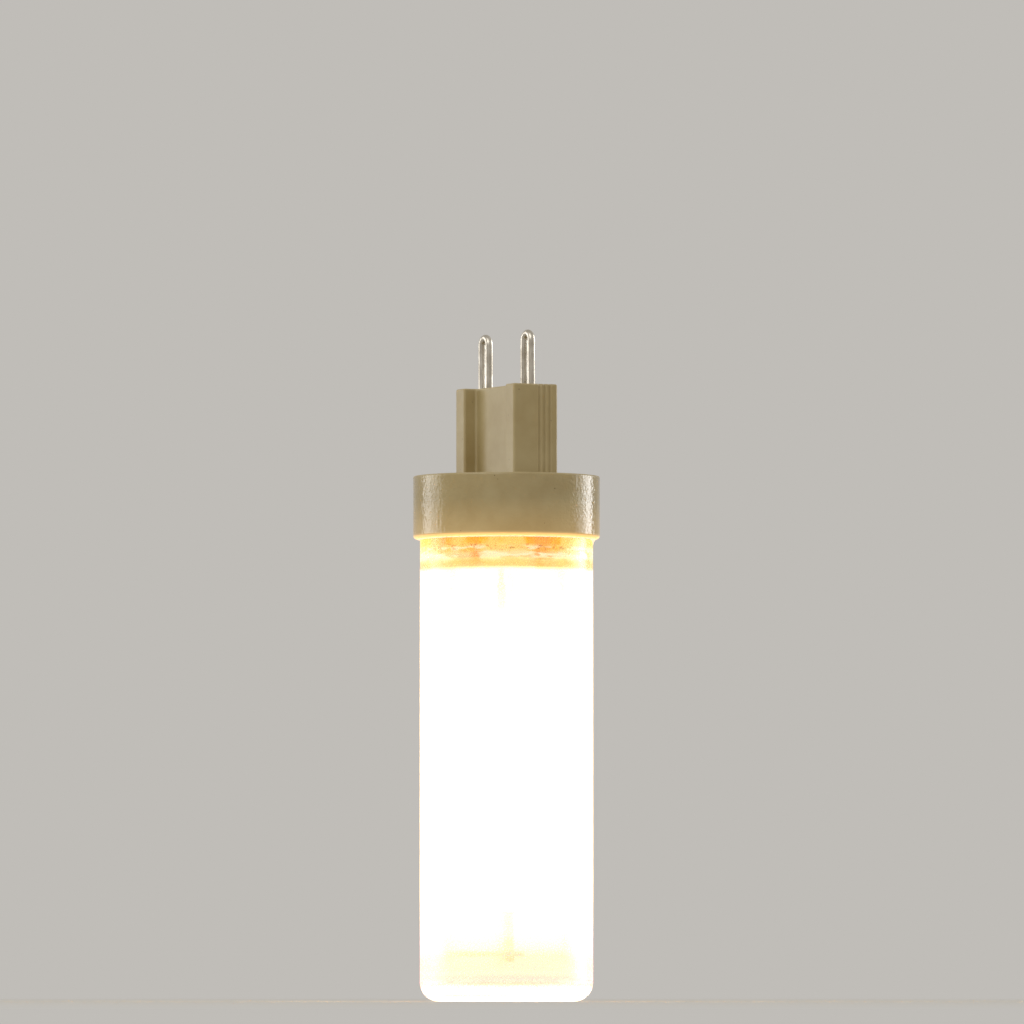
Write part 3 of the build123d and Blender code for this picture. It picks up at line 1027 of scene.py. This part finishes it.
sweep_section = [(0, glass_end), *arc((FLOOR_RADIUS, glass_end + SWEEP_RADIUS), SWEEP_RADIUS, -90, 0)]
sweep = turn(lambda angle: sweep_section)
bmesh.ops.scale(sweep, vec=(MM, MM, MM), verts=sweep.verts)
bmesh.ops.reverse_faces(sweep, faces=sweep.faces)
floor_mesh = bpy.data.meshes.new("floor_sweep")
sweep.to_mesh(floor_mesh)
sweep.free()
floor_mesh.shade_smooth()
floor_mesh.materials.append(floor_finish())
floor = bpy.data.objects.new("floor_sweep", floor_mesh)
bpy.context.collection.objects.link(floor)
print(f"floor at {glass_end:.1f} mm, {2 * (FLOOR_RADIUS + SWEEP_RADIUS) * MM:.1f} m across")

# %% [markdown]
# ## Light
# Tall soft boxes stand a little behind the bulb, left and right, and draw the two upright highlights on
# the collar. Each has a dimmer box beside it, so that a highlight has one hard edge and one that fades.
# A last one, in front and above, and an even world light keep the front at a plain level.

# %% Lamps and world
VIEW_BEARING = math.radians(62)
view_back = Vector((math.sin(VIEW_BEARING), -math.cos(VIEW_BEARING), 0))
view_right = Vector((math.cos(VIEW_BEARING), math.sin(VIEW_BEARING), 0))
LAMP_AIM = Vector((0, 0, -0.015))
WORLD_LEVEL = 0.6
WORLD_TINT = colour(255, 252, 246)
SOFT_BOXES = (
    ("left_box", -114, 8, 0.80, 0.25, 0.60, 3.0),
    ("left_fill", -97, 8, 0.80, 0.22, 0.60, 1.8),
    ("right_box", 122, 8, 0.80, 0.25, 0.60, 5.5),
    ("right_fill", 105, 8, 0.80, 0.22, 0.60, 1.8),
    ("front_box", -30, 42, 0.90, 0.70, 0.70, 1.8),
)


def soft_box(name, bearing, rise, distance, width, height, radiance):
    """A soft box at a bearing from the camera's side, aimed at the bulb, of a given brightness."""
    turned, raised = math.radians(bearing), math.radians(rise)
    level = view_back * math.cos(turned) + view_right * math.sin(turned)
    lamp = bpy.data.lights.new(name, "AREA")
    lamp.shape = "RECTANGLE"
    lamp.size = width
    lamp.size_y = height
    lamp.energy = radiance * math.pi * width * height
    made = bpy.data.objects.new(name, lamp)
    made.location = LAMP_AIM + distance * (level * math.cos(raised) + Vector((0, 0, math.sin(raised))))
    made.rotation_euler = (made.location - LAMP_AIM).to_track_quat("Z", "Y").to_euler()
    made.visible_camera = False
    bpy.context.collection.objects.link(made)
    print(f"{name}: {lamp.energy:.2f} W")


for settings in SOFT_BOXES:
    soft_box(*settings)

world = bpy.data.worlds.new("studio")
bpy.context.scene.world = world
world.use_nodes = True
sky = world.node_tree.nodes["Background"]
sky.inputs["Color"].default_value = WORLD_TINT
sky.inputs["Strength"].default_value = WORLD_LEVEL

# %% [markdown]
# ## Camera
# The bulb is seen through a long lens from just above the floor, level with its closed end, and turned so
# that its two loops come close together. The lens length follows from one number, how many millimetres
# the picture is wide at the bulb.

# %% Camera
PICTURE_WIDTH = 102.4
SENSOR_WIDTH = 36.0
CAMERA_DISTANCE = 1000.0
CAMERA_ABOVE_FLOOR = 1.0
CLIP_START = 0.05
AIM_HEIGHT = -3.55
AIM_RIGHT = 0.55

camera_data = bpy.data.cameras.new("camera")
camera_data.sensor_width = SENSOR_WIDTH
camera_data.lens = SENSOR_WIDTH * CAMERA_DISTANCE / PICTURE_WIDTH
camera_data.clip_start = CLIP_START
camera = bpy.data.objects.new("camera", camera_data)
aim = view_right * AIM_RIGHT + Vector((0, 0, AIM_HEIGHT))
stand = view_right * AIM_RIGHT + view_back * CAMERA_DISTANCE
stand.z = glass_end + CAMERA_ABOVE_FLOOR
camera.location = stand * MM
camera.rotation_euler = (stand - aim).to_track_quat("Z", "Y").to_euler()
bpy.context.collection.objects.link(camera)
bpy.context.scene.camera = camera
bpy.context.scene.view_settings.view_transform = "Standard"
print(f"lens {camera_data.lens:.0f} mm at {CAMERA_DISTANCE * MM:.2f} m")
